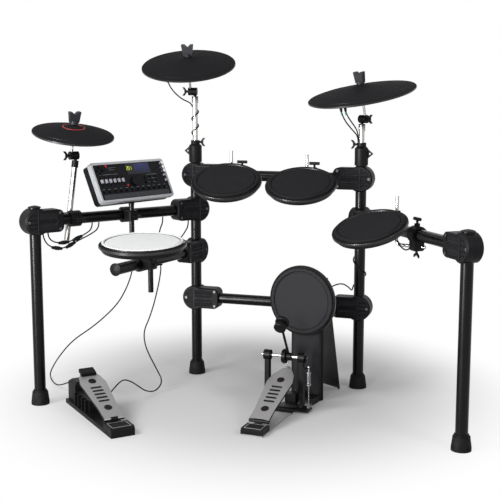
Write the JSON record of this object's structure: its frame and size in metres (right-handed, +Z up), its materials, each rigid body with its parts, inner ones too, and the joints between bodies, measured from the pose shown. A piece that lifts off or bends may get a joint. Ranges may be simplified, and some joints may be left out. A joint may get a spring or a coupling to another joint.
{
  "type": "electronic drum kit",
  "caption": "Electronic drum kit: tube rack carrying rubber pads, cymbal pads on boom arms, a sound module, a kick pad tower with pedal and a hi-hat pedal.",
  "frame": {"origin": "on the floor under the middle of the kit's outline, cables left out", "axes": "+Z up, +Y away from the drummer, +X to the drummer's right"},
  "size_m": [1.5872, 0.9376, 1.2105],
  "materials": {
    "black_tube": "gloss",
    "clamp_plastic": "satin",
    "bolt_steel": "satin",
    "foot_rubber": "matt",
    "chrome": "polished",
    "cymbal_rubber": "matt",
    "pad_rubber": "matt",
    "pad_plastic": "satin",
    "snare_rubber": "matt",
    "black_steel": "satin",
    "pedal_alloy": "satin",
    "pedal_plastic": "matt",
    "module_black": "satin",
    "module_silver": "satin",
    "dial_grey": "satin",
    "screen_glass": "gloss",
    "cable_rubber": "satin"
  },
  "bodies": {
    "rack": {"rack_tubes": "black_tube", "clamp_shells": "clamp_plastic", "clamp_screws": "bolt_steel", "rubber_feet": "foot_rubber", "tube_fittings": "clamp_plastic", "rod_clamps": "clamp_plastic", "clamp_knobs": "clamp_plastic", "kick_tower": "black_steel", "kick_shell": "pad_plastic", "kick_head": "pad_rubber", "kick_pedal_base": "pedal_alloy", "kick_pedal_frame": "black_steel", "kick_chain": "bolt_steel", "kick_spring": "bolt_steel", "hat_pedal_base": "pedal_plastic", "module_bracket": "black_steel", "cable_leads": "cable_rubber", "crash_lead": "cable_rubber", "ride_leads": "cable_rubber"},
    "hihat_boom": {"hihat_boom": "chrome"},
    "hihat_tilter": {"hihat_rod": "chrome", "hihat_nut": "clamp_plastic"},
    "hihat_pad": {"hihat_cymbal": "cymbal_rubber"},
    "crash_boom": {"crash_boom": "chrome"},
    "crash_tilter": {"crash_rod": "chrome", "crash_nut": "clamp_plastic"},
    "crash_pad": {"crash_cymbal": "cymbal_rubber"},
    "ride_boom": {"ride_boom": "chrome"},
    "ride_tilter": {"ride_rod": "chrome", "ride_nut": "clamp_plastic"},
    "ride_pad": {"ride_cymbal": "cymbal_rubber"},
    "tom1_rod": {"tom1_rod": "chrome"},
    "tom1_mount": {"tom1_mount": "clamp_plastic"},
    "tom1_pad": {"tom1_shell": "pad_plastic", "tom1_head": "pad_rubber"},
    "tom2_rod": {"tom2_rod": "chrome"},
    "tom2_mount": {"tom2_mount": "clamp_plastic"},
    "tom2_pad": {"tom2_shell": "pad_plastic", "tom2_head": "pad_rubber"},
    "tom3_rod": {"tom3_rod": "chrome"},
    "tom3_mount": {"tom3_mount": "clamp_plastic"},
    "tom3_pad": {"tom3_shell": "pad_plastic", "tom3_head": "pad_rubber"},
    "snare_post": {"snare_rod": "black_steel", "snare_mount": "clamp_plastic"},
    "snare_pad": {"snare_shell": "pad_plastic", "snare_head": "snare_rubber"},
    "kick_board": {"kick_footboard": "pedal_alloy"},
    "kick_axle": {"kick_pedal_axle": "chrome", "kick_beater": "black_steel"},
    "hat_board": {"hat_footboard": "pedal_alloy"},
    "module": {"module_housing": "module_black", "module_bezel": "module_silver", "module_screen": "screen_glass"},
    "module_knob_1": {"module_knob_1": "module_silver"},
    "module_knob_2": {"module_knob_2": "module_silver"},
    "module_knob_3": {"module_knob_3": "module_silver"},
    "module_dial": {"module_dial": "dial_grey"},
    "module_faders": {"module_faders": "module_silver"},
    "module_buttons": {"module_buttons": "module_black"}
  },
  "joints": [
    {"name": "hihat_height", "type": "slide", "parent": "rack", "child": "hihat_boom", "axis": [0.0847, 0.1232, 0.9888], "range_m": [-0.015, 0.05]},
    {"name": "hihat_tilt", "type": "hinge", "parent": "hihat_boom", "child": "hihat_tilter", "pos_m": [-0.63677, -0.06103, 0.82962], "axis": [0.6157, 0.788, 0], "range_deg": [-15, 15]},
    {"name": "hihat_swing", "type": "hinge", "parent": "hihat_tilter", "child": "hihat_pad", "pos_m": [-0.61854, -0.07528, 0.92382], "axis": [0.6157, 0.788, 0], "range_deg": [-3, 3], "stiffness_Nm_per_rad": 4},
    {"name": "crash_height", "type": "slide", "parent": "rack", "child": "crash_boom", "axis": [0, 0, 1], "range_m": [-0.015, 0.05], "deforming": ["crash_lead"]},
    {"name": "crash_tilt", "type": "hinge", "parent": "crash_boom", "child": "crash_tilter", "pos_m": [-0.34833, 0.30961, 1.045], "axis": [0.9813, 0.1925, 0], "range_deg": [-15, 15], "deforming": ["crash_lead"]},
    {"name": "crash_swing", "type": "hinge", "parent": "crash_tilter", "child": "crash_pad", "pos_m": [-0.3403, 0.26872, 1.15646], "axis": [0.9813, 0.1925, 0], "range_deg": [-4, 4], "stiffness_Nm_per_rad": 4, "deforming": ["crash_lead"]},
    {"name": "ride_height", "type": "slide", "parent": "rack", "child": "ride_boom", "axis": [0, 0, 1], "range_m": [-0.015, 0.05], "deforming": ["ride_leads"]},
    {"name": "ride_tilt", "type": "hinge", "parent": "ride_boom", "child": "ride_tilter", "pos_m": [0.29635, 0.30491, 0.951], "axis": [0.8738, -0.4863, 0], "range_deg": [-15, 15], "deforming": ["ride_leads"]},
    {"name": "ride_swing", "type": "hinge", "parent": "ride_tilter", "child": "ride_pad", "pos_m": [0.28371, 0.28219, 1.05685], "axis": [0.8738, -0.4863, 0], "range_deg": [-4, 4], "stiffness_Nm_per_rad": 4, "deforming": ["ride_leads"]},
    {"name": "tom1_rod_turn", "type": "hinge", "parent": "rack", "child": "tom1_rod", "pos_m": [-0.15263, 0.31269, 0.708], "axis": [0, -1, 0], "range_deg": [-5, 5]},
    {"name": "tom1_height", "type": "slide", "parent": "tom1_rod", "child": "tom1_mount", "axis": [0, 0, 1], "range_m": [-0.012, 0.03]},
    {"name": "tom1_tilt", "type": "hinge", "parent": "tom1_mount", "child": "tom1_pad", "pos_m": [-0.14833, 0.17616, 0.787], "axis": [-0.9767, -0.2147, 0], "range_deg": [-8, 12]},
    {"name": "tom2_rod_turn", "type": "hinge", "parent": "rack", "child": "tom2_rod", "pos_m": [0.11537, 0.31269, 0.708], "axis": [0, -1, 0], "range_deg": [-5, 5]},
    {"name": "tom2_height", "type": "slide", "parent": "tom2_rod", "child": "tom2_mount", "axis": [0, 0, 1], "range_m": [-0.012, 0.03]},
    {"name": "tom2_tilt", "type": "hinge", "parent": "tom2_mount", "child": "tom2_pad", "pos_m": [0.11781, 0.19284, 0.778], "axis": [-0.9925, -0.1219, 0], "range_deg": [-8, 12]},
    {"name": "tom3_rod_turn", "type": "hinge", "parent": "rack", "child": "tom3_rod", "pos_m": [0.52974, -0.00165, 0.564], "axis": [-0.9466, 0.3223, 0], "range_deg": [-5, 5], "deforming": ["cable_leads"]},
    {"name": "tom3_height", "type": "slide", "parent": "tom3_rod", "child": "tom3_mount", "axis": [0, 0, 1], "range_m": [-0.012, 0.03], "deforming": ["cable_leads"]},
    {"name": "tom3_tilt", "type": "hinge", "parent": "tom3_mount", "child": "tom3_pad", "pos_m": [0.45313, 0.00343, 0.664], "axis": [-0.9063, 0.4226, 0], "range_deg": [-8, 12], "deforming": ["cable_leads"]},
    {"name": "snare_height", "type": "slide", "parent": "rack", "child": "snare_post", "axis": [0, 0, 1], "range_m": [-0.025, 0.05], "deforming": ["cable_leads"]},
    {"name": "snare_tilt", "type": "hinge", "parent": "snare_post", "child": "snare_pad", "pos_m": [-0.35433, -0.06317, 0.561], "axis": [-0.9613, -0.2756, 0], "range_deg": [-6, 10], "deforming": ["cable_leads"]},
    {"name": "kick_board_press", "type": "hinge", "parent": "rack", "child": "kick_board", "pos_m": [0.09163, -0.2468, 0.029], "axis": [-0.9978, 0.0663, 0], "range_deg": [0, 6.2], "stiffness_Nm_per_rad": 2, "springref_deg": -22.92, "deforming": ["kick_chain", "kick_spring"]},
    {"name": "kick_axle_turn", "type": "hinge", "parent": "rack", "child": "kick_axle", "pos_m": [0.10687, -0.01731, 0.181], "axis": [-0.9978, 0.0663, 0], "range_deg": [0, 56.4], "stiffness_Nm_per_rad": 0.25, "springref_deg": -28.65, "deforming": ["kick_chain", "kick_spring"]},
    {"name": "hat_board_press", "type": "hinge", "parent": "rack", "child": "hat_board", "pos_m": [-0.33771, -0.38848, 0.036], "axis": [-0.682, -0.7314, 0], "range_deg": [0, 7], "stiffness_Nm_per_rad": 14, "springref_deg": -6.88},
    {"name": "module_tilt", "type": "hinge", "parent": "rack", "child": "module", "pos_m": [-0.4684, 0.04805, 0.679], "axis": [0.342, 0.9397, 0], "range_deg": [-15, 15]},
    {"name": "module_knob_1_turn", "type": "hinge", "parent": "module", "child": "module_knob_1", "pos_m": [-0.41564, 0.17464, 0.79217], "axis": [0.8537, -0.3107, 0.4179], "range_deg": [-150, 150]},
    {"name": "module_knob_2_turn", "type": "hinge", "parent": "module", "child": "module_knob_2", "pos_m": [-0.40974, 0.1725, 0.77853], "axis": [0.8537, -0.3107, 0.4179], "range_deg": [-150, 150]},
    {"name": "module_knob_3_turn", "type": "hinge", "parent": "module", "child": "module_knob_3", "pos_m": [-0.40413, 0.17045, 0.76554], "axis": [0.8537, -0.3107, 0.4179], "range_deg": [-150, 150]},
    {"name": "module_dial_turn", "type": "hinge", "parent": "module", "child": "module_dial", "pos_m": [-0.44453, 0.0266, 0.74112], "axis": [0.8537, -0.3107, 0.4179], "continuous": true},
    {"name": "module_faders_slide", "type": "slide", "parent": "module", "child": "module_faders", "axis": [-0.3927, 0.1429, 0.9085], "range_m": [-0.012, 0.012]},
    {"name": "module_buttons_press", "type": "slide", "parent": "module", "child": "module_buttons", "axis": [-0.8537, 0.3107, -0.4179], "range_m": [0, 0.0012], "stiffness_N_per_m": 600}
  ],
  "couplings": [
    {"joint": "kick_axle_turn", "follows": "kick_board_press", "ratio": 9.014}
  ]
}
